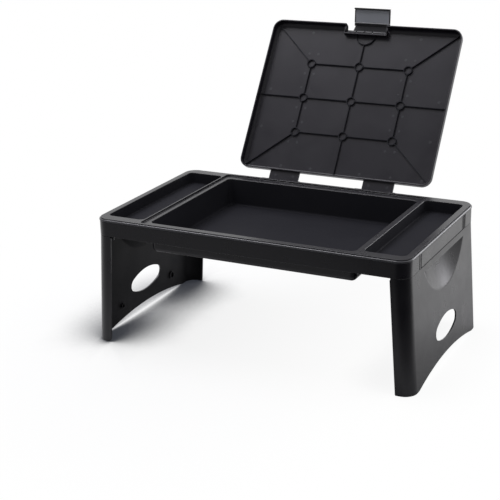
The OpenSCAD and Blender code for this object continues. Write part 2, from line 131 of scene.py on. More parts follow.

# What reflections meet: floor colour painted by place, bright paper behind the desk, painted dim in front
# and painted dark at the front right, as painted shade.
forward = add_node(tree, "ShaderNodeMapRange", {"From Min": -0.5, "From Max": 0.05, "To Min": FRONT_LEVEL},
                   {"Value": across.outputs["Y"]})
aside = add_node(tree, "ShaderNodeVectorMath", {"operation": "DOT_PRODUCT", 1: (0.8, -0.6, 0)},
                 {0: place.outputs["Object"]})
painted_dark_patch = add_node(tree, "ShaderNodeMapRange",
                  {"From Min": 0.36, "From Max": 0.55, "To Min": 1.0, "To Max": PAINTED_DARK_LEVEL},
                  {"Value": aside.outputs["Value"]})
depth = add_node(tree, "ShaderNodeMath", {"operation": "MULTIPLY"},
                 {0: forward.outputs["Result"], 1: painted_dark_patch.outputs["Result"]})
paper = add_node(tree, "ShaderNodeBsdfDiffuse", {}, {"Color": depth.outputs[0]})
sweep = add_node(tree, "ShaderNodeEmission", {}, {"Color": depth.outputs[0]})
unseen = add_node(tree, "ShaderNodeMixShader", {},
                  {0: far.outputs["Result"], 1: paper.outputs[0], 2: sweep.outputs[0]})

# What the camera sees: white, with a painted shadow, drawn from ambient occlusion where the desk hides the
# room and faded towards the lamp's side by the place on the floor.
open_room = add_node(tree, "ShaderNodeAmbientOcclusion", {"samples": 16, "Distance": SHADOW_REACH})
shadow = add_node(tree, "ShaderNodeMapRange", {"From Min": SHADOW_FULL, "From Max": SHADOW_GONE},
                  {"Value": open_room.outputs["AO"]})
falloff = add_node(tree, "ShaderNodeMath", {"operation": "POWER", 1: SHADOW_FALLOFF},
                   {0: shadow.outputs["Result"]})
# The painted shadow is weaker towards the right, set by the place on the floor.
painted_shadow_fade = add_node(tree, "ShaderNodeMapRange",
                     {"From Min": -0.18, "From Max": 0.26, "To Min": 1.0, "To Max": PAINTED_SHADOW_RIGHT},
                     {"Value": across.outputs["X"]})
deep = add_node(tree, "ShaderNodeMix", {"data_type": "RGBA", 6: srgb("30333A"), 7: srgb("FFFFFF")},
                {0: falloff.outputs[0]})
soft = add_node(tree, "ShaderNodeMix", {"data_type": "RGBA", 6: srgb("FFFFFF")},
                {0: painted_shadow_fade.outputs["Result"], 7: deep.outputs[2]})
clear = add_node(tree, "ShaderNodeMix", {"data_type": "RGBA", 7: srgb("FFFFFF")},
                 {0: far.outputs["Result"], 6: soft.outputs[2]})
glow = add_node(tree, "ShaderNodeEmission", {}, {"Color": clear.outputs[2]})
lit = add_node(tree, "ShaderNodeBsdfDiffuse", {"Color": srgb("F4F5F7")})
near = add_node(tree, "ShaderNodeMath", {"operation": "SUBTRACT", 0: 1.0}, {1: far.outputs["Result"]})
cast = add_node(tree, "ShaderNodeMath", {"operation": "MULTIPLY"},
                {0: near.outputs[0], 1: painted_shadow_fade.outputs["Result"]})
share = add_node(tree, "ShaderNodeMath", {"operation": "MULTIPLY_ADD", 1: -SHADOW_SHARE, 2: 1.0},
                 {0: cast.outputs[0]})
seen = add_node(tree, "ShaderNodeMixShader", {},
                {0: share.outputs[0], 1: lit.outputs[0], 2: glow.outputs[0]})
rays = add_node(tree, "ShaderNodeLightPath")
both = add_node(tree, "ShaderNodeMixShader", {},
                {0: rays.outputs["Is Camera Ray"], 1: unseen.outputs[0], 2: seen.outputs[0]})
add_node(tree, "ShaderNodeOutputMaterial", {}, {"Surface": both.outputs[0]})
bpy.ops.mesh.primitive_circle_add(vertices=96, radius=25, fill_type="NGON", location=(0, -0.1, -0.0005))
floor = bpy.context.object
floor.name = "floor"
floor.data.materials.append(floor_material)

# The room above the floor: bright behind the desk, dim in front, and a little brighter overhead.
world = bpy.data.worlds.new("studio")
bpy.context.scene.world = world
world.use_nodes = True
tree = world.node_tree
tree.nodes.clear()
way = add_node(tree, "ShaderNodeTexCoord")
parts = add_node(tree, "ShaderNodeSeparateXYZ", {}, {0: way.outputs["Generated"]})
behind = add_node(tree, "ShaderNodeMapRange",
                  {"From Min": -0.3, "From Max": 0.3, "To Min": FRONT_LEVEL, "To Max": BACK_LEVEL},
                  {"Value": parts.outputs["Y"]})
above = add_node(tree, "ShaderNodeMapRange", {"From Min": 0.3, "From Max": 0.75, "To Max": CEILING_LEVEL},
                 {"Value": parts.outputs["Z"]})
level_here = add_node(tree, "ShaderNodeMath", {"operation": "MAXIMUM"},
                      {0: behind.outputs["Result"], 1: above.outputs["Result"]})
sky = add_node(tree, "ShaderNodeBackground", {"Color": (1, 1, 1, 1)}, {"Strength": level_here.outputs[0]})
backdrop = add_node(tree, "ShaderNodeBackground", {"Color": (1, 1, 1, 1), "Strength": 1.0})
rays = add_node(tree, "ShaderNodeLightPath")
shown = add_node(tree, "ShaderNodeMixShader", {},
                 {0: rays.outputs["Is Camera Ray"], 1: sky.outputs[0], 2: backdrop.outputs[0]})
add_node(tree, "ShaderNodeOutputWorld", {}, {"Surface": shown.outputs[0]})


def softbox(name, place, aim, size, power):
    """A rectangular area light, faintly cool, at a place and facing a point."""
    lamp = bpy.data.lights.new(name, "AREA")
    lamp.shape = "RECTANGLE"
    lamp.size, lamp.size_y = size
    lamp.energy = power
    lamp.color = srgb("FAF9FF")[:3]
    light = bpy.data.objects.new(name, lamp)
    light.location = place
    light.rotation_euler = (Vector(aim) - Vector(place)).to_track_quat("-Z", "Y").to_euler()
    bpy.context.collection.objects.link(light)


softbox("overhead softbox", (-0.95, 0.05, 2.2), (0, -0.15, 0.2), (1.3, 1.2), 28)
softbox("right rear softbox", (1.3, 1.9, 0.75), (0.2, -0.1, 0.12), (1.0, 1.1), 13.5)
bpy.context.scene.view_settings.view_transform = "Standard"

# The tray: one injection-moulded polypropylene shell with a rolled rim, a deep well with a seat for the
# lid around it, and a shallow tray at each end. Its skirt is a thin wall, open underneath, with a sunk panel
# at each end.
WALL = 2.5
RIM_Z, SKIRT_Z = 220.0, 190.0
SKIRT_X, SKIRT_Y, SKIRT_R = 274.2, 161.7, 21.2
RIM_ROLL, RIM_HEIGHT = 0.8, 5.0
ROLL_R, ROLL_STEP, STEP_IN, STEP_R = 2.0, 1.5, 1.9, 0.3
SEAT_X, SEAT_Y, SEAT_Z, SEAT_R = 191.5, 155.0, 217.0, 6.5
WELL_X, WELL_Y, WELL_Z, WELL_DRAFT = 181.0, 140.5, 169.0, 2.6
SIDE_X0, SIDE_X1, SIDE_Z, SIDE_DRAFT = 194.5, 262.0, 200.0, 1.0
POCKET_R = 9.0
PANEL_Y, PANEL_TOP, PANEL_DEEP, PANEL_EDGE, PANEL_BEAD = 106.0, 214.0, 0.8, 0.8, 4.5
HINGE_Y, HINGE_Z, BARREL_R = 168.5, 213.0, 4.5
TAB_X, TAB_W, EAR_W = 91.0, 58.0, 8.0
HINGE_PIN_R, LEG_PIN_R = 1.5, 2.0
PIVOT_X, PIVOT_Z = 249.2, 185.5
LUG_R, LUG_Y0, LUG_Y1 = 5.5, 151.1, 155.3
RIB_W, RIB_Z = 2.0, 194.0
SKIRT_FOOT_R, ROLL_FOOT_R = 0.7, 0.6
BEAD_R, BEAD_SUNK, BEAD_SWEEP = 1.8, 1.2, 75
BEAD_FOOT, BEAD_TOP = SKIRT_Z + 0.8, PANEL_TOP + 0.5
TRAY_LIP, TRAY_FOOT, TRAY_UNDER_FOOT = 0.9, 2.2, 6.5
WELL_LIP, WELL_FOOT, WELL_UNDER_FOOT = 1.2, 4.0, 7.5
SEAT_LIP, SEAT_FOOT, UNDER_LIP = 0.9, 0.8, 0.3
TAB_PLAY, PIN_PLAY = 0.3, 0.05
WELL_MARK_R = 4
POLISHED, MATTE_SHADE, HIGHLIT_ROLL = 1, 2, 3
CORNER_STEPS = 12
EDGE_STEPS = 5


def moulded_black(name, colour, roughness, grain, sheen=0.5):
    """Black polypropylene from a spark-eroded tool. It gives a soft satin sheen that breaks up in a fine
    even grain, drawn coarser than its real 0.1 mm so that it shows, with faint flow marks and paler,
    shinier edges, which are partly scuffing and partly a painted highlight."""
    material = bpy.data.materials.new(name)
    material.use_nodes = True
    tree = material.node_tree
    shader = tree.nodes["Principled BSDF"]
    shader.inputs["IOR"].default_value = 1.49
    shader.inputs["Specular IOR Level"].default_value = sheen
    place = add_node(tree, "ShaderNodeTexCoord")
    spark = add_node(tree, "ShaderNodeTexNoise", {"Scale": 1000 / grain, "Detail": 2.0, "Roughness": 0.6},
                     {"Vector": place.outputs["Object"]})
    flow = add_node(tree, "ShaderNodeTexNoise", {"Scale": 1000 / 55, "Detail": 4.0, "Distortion": 0.6},
                    {"Vector": place.outputs["Object"]})
    rubs = add_node(tree, "ShaderNodeTexNoise", {"Scale": 1000 / 9, "Detail": 6.0, "Roughness": 0.7},
                    {"Vector": place.outputs["Object"]})
    # Edges found by the bevel node are painted paler and shinier: partly scuffing, partly a painted
    # highlight.
    rounded = add_node(tree, "ShaderNodeBevel", {"samples": 6, "Radius": 0.0011})
    surface = add_node(tree, "ShaderNodeNewGeometry")
    facing = add_node(tree, "ShaderNodeVectorMath", {"operation": "DOT_PRODUCT"},
                      {0: rounded.outputs["Normal"], 1: surface.outputs["True Normal"]})
    edge = add_node(tree, "ShaderNodeMapRange", {"From Min": 0.99, "From Max": 0.8},
                    {"Value": facing.outputs["Value"]})
    rubbed = add_node(tree, "ShaderNodeMapRange", {"From Min": 0.36, "From Max": 0.52, "To Min": 0.35},
                      {"Value": rubs.outputs["Fac"]})
    edge_scuff_and_highlight = add_node(tree, "ShaderNodeMath", {"operation": "MULTIPLY"},
                    {0: edge.outputs["Result"], 1: rubbed.outputs["Result"]})
    pale = [min(1.0, c * 2.2 + 0.045) for c in srgb(colour)[:3]]
    marks = add_node(tree, "ShaderNodeMapRange", {"From Min": 0.3, "From Max": 0.75, "To Max": 0.05},
                     {"Value": flow.outputs["Fac"]})
    scuff_highlight_and_marks = add_node(tree, "ShaderNodeMath", {"operation": "MULTIPLY_ADD", 1: 0.55, "use_clamp": True},
                    {0: edge_scuff_and_highlight.outputs[0], 2: marks.outputs["Result"]})
    tone = add_node(tree, "ShaderNodeMix", {"data_type": "RGBA", 6: srgb(colour), 7: (*pale, 1)},
                    {0: scuff_highlight_and_marks.outputs[0]})
    smoothest, roughest = roughness - 0.04, roughness + 0.05
    satin = add_node(tree, "ShaderNodeMapRange",
                     {"From Min": 0.3, "From Max": 0.7, "To Min": smoothest, "To Max": roughest},
                     {"Value": flow.outputs["Fac"]})
    polish = add_node(tree, "ShaderNodeMath", {"operation": "MULTIPLY_ADD", 1: -0.1},
                      {0: edge_scuff_and_highlight.outputs[0], 2: satin.outputs["Result"]})
    relief = add_node(tree, "ShaderNodeBump", {"Strength": 0.35, "Distance": 0.00006},
                      {"Height": spark.outputs["Fac"]})
    tree.links.new(tone.outputs[2], shader.inputs["Base Color"])
    tree.links.new(polish.outputs[0], shader.inputs["Roughness"])
    tree.links.new(relief.outputs["Normal"], shader.inputs["Normal"])
    return material


def outline(x, y, r, z, middle=(0, 0), stops=(), opening=None):
    """A rectangle with round corners seen from above, anticlockwise; x and y are half sizes.
    The stops are extra points along the two ends, and an opening leaves a gap in the front side."""
    points = [] if opening is None else [(opening, -y)]
    for quarter, (side, end) in enumerate(((1, -1), (1, 1), (-1, 1), (-1, -1))):
        for step in range(CORNER_STEPS + 1):
            angle = (quarter - 1 + step / CORNER_STEPS) * math.pi / 2
            points.append((side * (x - r) + r * math.cos(angle), end * (y - r) + r * math.sin(angle)))
        if quarter == 0:
            points += [(x, stop) for stop in stops]
        if quarter == 2:
            points += [(-x, stop) for stop in reversed(stops)]
    if opening is not None:
        points.append((-opening, -y))
    return [(middle[0] + px, middle[1] + py, z) for px, py in points]


def arc(radius, start, end, middle=(0, 0), steps=EDGE_STEPS):
    """Points of an arc about a middle, between two angles in degrees."""
    angles = [math.radians(start + (end - start) * step / steps) for step in range(steps + 1)]
    return [(middle[0] + radius * math.cos(a), middle[1] + radius * math.sin(a)) for a in angles]


def circle(radius, middle, count=24):
    """Points of a whole circle about a middle."""
    return arc(radius, 0, 360, middle, count)[:-1]


def loft(bm, rings, closed=True):
    """Joins rings of points with faces, and gives their vertices back, ring by ring."""
    made = [[bm.verts.new(point) for point in ring] for ring in rings]
    count = len(rings[0])
    for low, high in zip(made, made[1:]):
        for i in range(count if closed else count - 1):
            j = (i + 1) % count
            bm.faces.new((low[i], low[j], high[j], high[i]))
    return made


def fill(bm, *loops):
    """Fills the flat region between loops of vertices."""
    pairs = [pair for loop in loops for pair in zip(loop, loop[1:] + loop[:1])]
    edges = [bm.edges.get(pair) or bm.edges.new(pair) for pair in pairs]
    bmesh.ops.triangle_fill(bm, use_beauty=True, edges=edges)


def solid(bm, loops, axis, start, end):
    """A flat outline, with holes after it, carried along an axis, 0 to 2, between two places."""
    ends = []
    for place in (start, end):
        loops_here = []
        for loop in loops:
            points = [list(point) for point in loop]
            for point in points:
                point.insert(axis, place)
            loops_here.append([bm.verts.new(point) for point in points])
        fill(bm, *loops_here)
        ends.append(loops_here)
    for near, far in zip(*ends):
        for i in range(len(near)):
            j = (i + 1) % len(near)
            bm.faces.new((near[i], near[j], far[j], far[i]))


def block(bm, x0, x1, y0, y1, z0, z1):
    """A plain rib or wall between two corners."""
    solid(bm, [[(x0, y0), (x1, y0), (x1, y1), (x0, y1)]], 2, z0, z1)


def finish(bm, before, index, below=math.inf):
    """Gives a material, by its index on the piece, to the faces listed after a count and below a height.
    They are listed nearly as they were made, so that one small triangle under a side tray is taken too."""
    for face in list(bm.faces)[before:]:
        if face.calc_center_median().z < below:
            face.material_index = index


def mark(bm, x, y, r, start, end):
    """A round ejector-pin mark on a flat face, in the piece's second material."""
    before = len(bm.faces)
    solid(bm, [circle(r, (x, y))], 2, start, end)
    finish(bm, before, POLISHED)


def pocket(x, y, r, top, bottom, draft, lip, foot, middle=(0, 0)):
    """Rings of a hollow with leaning sides: a round lip at the top and a round foot at its floor."""
    rings = []
    for across, z in arc(lip, 90, 180, (0, top - lip)):
        rings.append(outline(x + lip + across, y + lip + across, r + lip + across, z, middle))
    inset_foot = draft * (1 - foot / (top - bottom)) + foot
    for across, z in arc(foot, 0, -90, (0, bottom + foot)):
        inset = inset_foot - across
        rings.append(outline(x - inset, y - inset, r - inset, z, middle))
    return rings


def piece(name, bm, materials, node, place=Matrix.Identity(4), bevel=0.0):
    """An object from a mesh in millimetres about the tray's middle. It is put in its place, takes metres,
    is shaded by its larger faces, has its sharp edges rounded if asked, and stands for a node on that
    node's body."""
    bmesh.ops.recalc_face_normals(bm, faces=bm.faces)
    to_frame = Matrix.Scale(0.001, 4) @ Matrix.Translation((0, TRAY_MIDDLE_Y, 0)) @ place
    bmesh.ops.transform(bm, matrix=to_frame, verts=bm.verts)
    mesh = bpy.data.meshes.new(name)
    bm.to_mesh(mesh)
    bm.free()
    mesh.polygons.foreach_set("use_smooth", [True] * len(mesh.polygons))
    for material in materials:
        mesh.materials.append(material)
    made = bpy.data.objects.new(name, mesh)
    bpy.context.collection.objects.link(made)
    if bevel:
        rounding = made.modifiers.new("rounded edges", "BEVEL")
        rounding.width = bevel / 1000
        rounding.segments = 2
        rounding.limit_method = "ANGLE"
        rounding.angle_limit = math.radians(35)
    shading = made.modifiers.new("true planes", "WEIGHTED_NORMAL")
    shading.weight = 100
    shading.keep_sharp = True
    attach(made, frame["nodes"][node]["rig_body"])
    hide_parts(node)
    return made


bm = bmesh.new()
section = [(WALL + 1, RIM_Z - WALL), (WALL, RIM_Z - WALL - 1)]
foot_middle = (0, SKIRT_Z + SKIRT_FOOT_R)
section += [(WALL - SKIRT_FOOT_R - across, z) for across, z in arc(SKIRT_FOOT_R, 180, 270, foot_middle, 3)]
section += [(SKIRT_FOOT_R - across, z) for across, z in arc(SKIRT_FOOT_R, 270, 360, foot_middle, 3)]
section += [(0, PANEL_TOP - PANEL_EDGE), (0, PANEL_TOP)]
foot_middle = (0, RIM_Z - RIM_HEIGHT + ROLL_FOOT_R)
section += [(ROLL_FOOT_R - RIM_ROLL - across, z)
            for across, z in arc(ROLL_FOOT_R, 270, 360, foot_middle, 3)]
roll_middle = (0, RIM_Z - ROLL_STEP - ROLL_R)
section += [(ROLL_R - RIM_ROLL - across, z) for across, z in arc(ROLL_R, 0, 90, roll_middle)]
section += [(STEP_IN, RIM_Z - ROLL_STEP), (STEP_IN, RIM_Z - STEP_R)]
section += [(STEP_IN + STEP_R - across, z) for across, z in arc(STEP_R, 0, 90, (0, RIM_Z - STEP_R), 3)]
stops = (-PANEL_Y - PANEL_EDGE, -PANEL_Y, PANEL_Y, PANEL_Y + PANEL_EDGE)
rings = []
for inset, z in section:
    recess = PANEL_DEEP * max(0, 1 - inset / WALL) if z < PANEL_TOP - PANEL_EDGE / 2 else 0
    ring = []
    for x, y, height in outline(SKIRT_X - inset, SKIRT_Y - inset, SKIRT_R - inset, z, stops=stops):
        on_panel = abs(y) <= PANEL_Y and abs(x) > SKIRT_X - inset - 0.1
        ring.append((x - math.copysign(recess, x) if on_panel else x, y, height))
    rings.append(ring)
outside = loft(bm, rings)

# The step inside the rim and the line under its roll take the low-sheen matte finish, as painted shade, and
# the roll between them is painted paler and shinier, as a painted highlight.
line_top = RIM_Z - RIM_HEIGHT + 0.15
for face in bm.faces:
    height = face.calc_center_median().z
    if RIM_Z - ROLL_STEP < height < RIM_Z - STEP_R or PANEL_TOP < height < line_top:
        face.material_index = MATTE_SHADE
    elif RIM_Z - RIM_HEIGHT < height < RIM_Z - ROLL_STEP:
        face.material_index = HIGHLIT_ROLL

# Two thin upright beads stand beside each end of the sunk panels.
for side in (-1, 1):
    for edge in (-PANEL_Y, PANEL_Y):
        for way in (-1, 1):
            y = edge + way * PANEL_BEAD
            middle_x = SKIRT_X - (PANEL_DEEP if abs(y) < PANEL_Y else 0) - BEAD_SUNK
            bead = [(side * (middle_x + x), y + across)
                    for x, across in arc(BEAD_R, -BEAD_SWEEP, BEAD_SWEEP, steps=8)]
            solid(bm, [bead + [(side * middle_x, y)]], 2, BEAD_FOOT, BEAD_TOP)

# The side trays, the seat round the well, the well itself and the deck between them, from above and below.
tops, unders = [outside[-1]], [outside[0]]
side_half = (SIDE_X1 - SIDE_X0) / 2
for side in (-1, 1):
    middle = (side * (SIDE_X0 + SIDE_X1) / 2, 0)
    before = len(bm.faces)
    inside = loft(bm, pocket(side_half, WELL_Y, POCKET_R, RIM_Z, SIDE_Z,
                             SIDE_DRAFT, TRAY_LIP, TRAY_FOOT, middle))
    fill(bm, inside[-1])
    # The side tray's walls and floor take the low-sheen matte finish, as painted shade.
    finish(bm, before, MATTE_SHADE, RIM_Z - TRAY_LIP)
    tops.append(inside[0])
    below = loft(bm, pocket(side_half + WALL - UNDER_LIP, WELL_Y + WALL, POCKET_R + WALL, RIM_Z - WALL,
                            SIDE_Z - WALL, SIDE_DRAFT, UNDER_LIP, TRAY_UNDER_FOOT, middle))
    fill(bm, below[-1])
    unders.append(below[0])
rings = [outline(SEAT_X + SEAT_LIP + across, SEAT_Y + SEAT_LIP + across, SEAT_R + SEAT_LIP + across, z)
         for across, z in arc(SEAT_LIP, 90, 180, (0, RIM_Z - SEAT_LIP))]
rings += [outline(SEAT_X - SEAT_FOOT + across, SEAT_Y - SEAT_FOOT + across, SEAT_R - SEAT_FOOT + across, z)
          for across, z in arc(SEAT_FOOT, 0, -90, (0, SEAT_Z + SEAT_FOOT), 3)]
seat = loft(bm, rings)
tops.append(seat[0])
before = len(bm.faces)
well = loft(bm, pocket(WELL_X, WELL_Y, POCKET_R, SEAT_Z, WELL_Z, WELL_DRAFT, WELL_LIP, WELL_FOOT))
fill(bm, well[-1])
# The well's walls and floor take the low-sheen matte finish, as painted shade.
finish(bm, before, MATTE_SHADE, SEAT_Z - WELL_LIP)
fill(bm, seat[-1], well[0])
fill(bm, *tops)
slab = loft(bm, [outline(SEAT_X - 0.1, SEAT_Y + WALL, POCKET_R, z) for z in (RIM_Z - WALL, SEAT_Z - WALL)])
unders.append(slab[0])
below = loft(bm, pocket(WELL_X + WALL, WELL_Y + WALL, POCKET_R + WALL, SEAT_Z - WALL, WELL_Z - WALL,
                        WELL_DRAFT, UNDER_LIP, WELL_UNDER_FOOT))
fill(bm, slab[-1], below[0])
fill(bm, below[-1])
fill(bm, *unders)

# Ribs under the deck, ears for the lid's hinge pins behind it and lugs for the leg pins inside the skirt.
# They are moulded with the tray.
rib_top = SEAT_Z - WALL / 2
for end in (-1, 1):
    y0, y1 = sorted((end * (WELL_Y + WALL / 2), end * (SKIRT_Y - WALL / 2)))
    for share in (-0.75, -0.25, 0.25, 0.75):
        block(bm, share * WELL_X - RIB_W / 2, share * WELL_X + RIB_W / 2, y0, y1, RIB_Z, rib_top)
    for share in (-0.6, 0, 0.6):
        y0, y1 = share * WELL_Y - RIB_W / 2, share * WELL_Y + RIB_W / 2
        x0, x1 = sorted((end * (WELL_X + WALL / 2), end * (SIDE_X0 - WALL / 2)))
        block(bm, x0, x1, y0, y1, SIDE_Z, rib_top)
        x0, x1 = sorted((end * (SIDE_X1 + WALL / 2), end * (SKIRT_X - PANEL_DEEP - WALL / 2)))
        block(bm, x0, x1, y0, y1, RIB_Z, rib_top)
    for ear in (-1, 1):
        inner = end * TAB_X + ear * (TAB_W / 2 + TAB_PLAY)
        root_y = SKIRT_Y - WALL / 2
        ear_outline = [(root_y, HINGE_Z - BARREL_R), *arc(BARREL_R, -90, 90, (HINGE_Y, HINGE_Z), 16),
                       (root_y, HINGE_Z + BARREL_R)]
        hole = circle(HINGE_PIN_R, (HINGE_Y, HINGE_Z))
        solid(bm, [ear_outline, hole], 0, inner, inner + ear * EAR_W)
    for front in (-1, 1):
        pivot = (end * PIVOT_X, PIVOT_Z)
        lug_top = RIM_Z - WALL / 2
        lug = [(pivot[0] + LUG_R, lug_top), (pivot[0] - LUG_R, lug_top), *arc(LUG_R, 180, 360, pivot, 16)]
        solid(bm, [lug, circle(LEG_PIN_R + PIN_PLAY, pivot)], 1, front * LUG_Y0, front * LUG_Y1)
        y0, y1 = sorted((front * LUG_Y1, front * (SKIRT_Y - WALL / 2)))
        block(bm, pivot[0] - LUG_R, pivot[0] + LUG_R, y0, y1, RIB_Z, lug_top)
for x in (-135, -45, 45, 135):
    for y in (-95, 0, 95):
        mark(bm, x, y, WELL_MARK_R, WELL_Z - WALL - 0.2, WELL_Z - WALL + 0.5)

# The plastic's finishes. The skirt is satin and catches long soft lights. The rim's roll is painted paler
# and shinier, as a painted highlight, and round marks shine where ejector pins pressed. The pockets and the
# core sides are matte, with the sheen turned down and the core sides darker, partly as painted shade, which
# keeps them dark and even.
ejector_polish = moulded_black("black polypropylene, burnished by the ejector pins", "303036", 0.3, 0.6)
tray_plastic = moulded_black("satin black polypropylene", "18171D", 0.28, 0.9)
roll_highlight_plastic = moulded_black("black polypropylene, rim roll painted paler as a highlight", "34343A", 0.25, 0.9, 0.75)
core_and_shade_plastic = moulded_black("matte black polypropylene, core sides", "0E0E12", 0.6, 0.8, 0.17)
matte_shade_plastic = moulded_black("matte black polypropylene, pockets", "27272C", 0.62, 0.9, 0.05)
piece("tray_shell", bm, [tray_plastic, ejector_polish, matte_shade_plastic, roll_highlight_plastic], "tray",
      bevel=0.3)

# The legs: two of the same moulding, one turned round. Each is a thin wall that wraps the desk's end, with
# an arch between its feet, an oval hand hole, a scooped grip under the skirt and a knuckle for each pin.
LEG_IN, LEG_OUT, LEG_TOP = 245.2, 274.2, 189.7
KNUCKLE_R, KNUCKLE_W = 4.2, 3.6
SPLAY = math.radians(3.5)
ARCH_HALF, ARCH_RISE = 130.5, 14.5
ARCH_R = (ARCH_HALF ** 2 + ARCH_RISE ** 2) / (2 * ARCH_RISE)
HOLE_L, HOLE_H, HOLE_END_R, HOLE_Y, HOLE_Z = 100.0, 41.0, 12.0, 3.5, 57.0
GRIP_W, GRIP_H, GRIP_DEEP, GRIP_Y, GRIP_Z = 188.0, 55.0, 20.0, 5.0, 177.7
GRIP_ARC_R = (GRIP_W ** 2 / 4 + GRIP_H ** 2) / (2 * GRIP_H)
GRIP_UP = GRIP_ARC_R - GRIP_H
GRIP_OUT = (GRIP_ARC_R ** 2 - GRIP_UP ** 2 - GRIP_DEEP ** 2) / (2 * GRIP_DEEP)
GRIP_R = math.hypot(GRIP_OUT, GRIP_ARC_R)
GRIP_SOFT = 0.5
GRIP_MARGIN = 3.0
GRIP_COLUMNS, GRIP_ROWS = 56, 18
PANEL_HALF = SKIRT_Y - SKIRT_R
FOOT_FRONT_R, FOOT_BACK_R = 1.5, 7.0
FLANGE_STEPS, ARCH_STEPS = 12, 24
FRONT_BOSS, BACK_BOSS = ((-85, 33), 7.5, 5.2), ((85, 33), 5, 3.2)
BOSS_H, JOIN = 3, 0.2
CORE_SIDE = 1


def upright_z(x, z):
    """The height in the upright leg of a point that the lean brings to a height above the floor."""
    return PIVOT_Z + (z - PIVOT_Z - (x - PIVOT_X) * math.sin(SPLAY)) / math.cos(SPLAY)


def foot_z(x, y):
    """The leg's bottom edge: the arch, or the floor under a foot."""
    rise = ARCH_RISE - ARCH_R + math.sqrt(ARCH_R ** 2 - y ** 2)
    corner = FOOT_BACK_R if y > 0 else FOOT_FRONT_R
    short = max(0, corner - (x - LEG_IN))
    rounded = corner - math.sqrt(corner ** 2 - short ** 2)
    return upright_z(x, max(0, rise, rounded))


def top_z(x):
    """The leg's top edge, rounded about the pin at its inner corner."""
    if x < PIVOT_X:
        return PIVOT_Z + math.sqrt(max(0, KNUCKLE_R ** 2 - (x - PIVOT_X) ** 2))
    return upright_z(x, LEG_TOP)


def hand_hole():
    """The oval hand hole as (y, z), from four arcs."""
    a = HOLE_L / 2 - HOLE_END_R
    b = HOLE_H / 2 - HOLE_END_R
    k = (a * a - b * b) / (2 * b)
    touch = math.degrees(math.atan2(k, a))
    points = []
    long_r = k + HOLE_H / 2
    arcs = [(HOLE_END_R, -touch, touch, (a, 0), 12),
            (long_r, touch, 180 - touch, (0, -k), 20),
            (HOLE_END_R, 180 - touch, 180 + touch, (-a, 0), 12),
            (long_r, 180 + touch, 360 - touch, (0, k), 20)]
    for radius, start, end, middle, steps in arcs:
        points += arc(radius, start, end, middle, steps)[:-1]
    return [(HOLE_Y + y, HOLE_Z + z) for y, z in points]


def leg_skin(bm, inset):
    """One face of the leg's wall, at an inset from its outside. Gives back its outer loop and its hole."""
    face = LEG_OUT - inset
    outer_faces = set(bm.faces)

    def column(x, y):
        return [bm.verts.new((x, y, foot_z(x, y))), bm.verts.new((x, y, top_z(x)))]

    sides = []
    flat = LEG_OUT - SKIRT_R - LEG_IN
    for front in (-1, 1):
        plan = [(LEG_IN + step * flat / FLANGE_STEPS, front * (SKIRT_Y - inset))
                for step in range(FLANGE_STEPS)]
        plan += [(LEG_OUT - SKIRT_R + across, front * (PANEL_HALF + out))
                 for across, out in arc(SKIRT_R - inset, 90, 0, steps=14)]
        columns = [column(x, y) for x, y in plan]
        for (low, high), (next_low, next_high) in zip(columns, columns[1:]):
            bm.faces.new((low, next_low, next_high, high))
        sides.append(columns)
    front_side, back_side = sides
    span = [-PANEL_HALF + step * (PANEL_HALF - ARCH_HALF) / 2 for step in (1, 2)]
    span += [-ARCH_HALF + step * ARCH_HALF / ARCH_STEPS for step in range(1, 2 * ARCH_STEPS + 1)]
    span.append(PANEL_HALF - (PANEL_HALF - ARCH_HALF) / 2)
    bottom = [bm.verts.new((face, y, foot_z(face, y))) for y in span]
    panel = [front_side[-1][0], *bottom, back_side[-1][0], back_side[-1][1], front_side[-1][1]]

    middle_z = GRIP_Z + GRIP_UP
    top = GRIP_Z + inset
    rim = math.sqrt((GRIP_R + inset) ** 2 - (GRIP_OUT + inset) ** 2) + GRIP_MARGIN
    limit = math.acos((middle_z - top) / rim)
    corners = [bm.verts.new((face, GRIP_Y + side * rim * math.sin(limit), top)) for side in (-1, 1)]
    columns, lintel = [], []
    for i in range(1, GRIP_COLUMNS):
        angle = limit * (2 * i / GRIP_COLUMNS - 1)
        low = (middle_z - top) / math.cos(angle)
        rows = []
        for j in range(GRIP_ROWS + 1):
            reach = rim - (rim - low) * (j / GRIP_ROWS) ** 2
            deep = math.sqrt((GRIP_R + inset) ** 2 - reach ** 2) - GRIP_OUT - inset
            deep = (deep + math.hypot(deep, GRIP_SOFT)) / 2 if j else 0
            rows.append(bm.verts.new((face - deep, GRIP_Y + reach * math.sin(angle),
                                      middle_z - reach * math.cos(angle))))
        columns.append(rows)
        lintel.append(bm.verts.new((face, GRIP_Y + low * math.sin(angle), top)))
    for near, far in zip(columns, columns[1:]):
        for j in range(GRIP_ROWS):
            bm.faces.new((near[j], far[j], far[j + 1], near[j + 1]))
    for corner, rows, above in ((corners[0], columns[0], lintel[0]), (corners[1], columns[-1], lintel[-1])):
        for j in range(GRIP_ROWS):
            bm.faces.new((corner, rows[j], rows[j + 1]))
        bm.faces.new((corner, rows[-1], above))
    for i in range(len(lintel) - 1):
        bm.faces.new((lintel[i], lintel[i + 1], columns[i + 1][-1], columns[i][-1]))
    scoop = [corners[0], *[rows[0] for rows in columns], corners[1], *reversed(lintel)]
    hole = [bm.verts.new((face, y, z)) for y, z in hand_hole()]
    fill(bm, panel, scoop, hole)
    # The inner face takes the dark core finish, partly as painted shade.
    if inset:
        for made in bm.faces:
            if made not in outer_faces:
                made.material_index = CORE_SIDE
    around = [low for low, high in front_side] + bottom + [low for low, high in reversed(back_side)]
    around += [high for low, high in back_side] + [high for low, high in reversed(front_side)]
    return around, hole


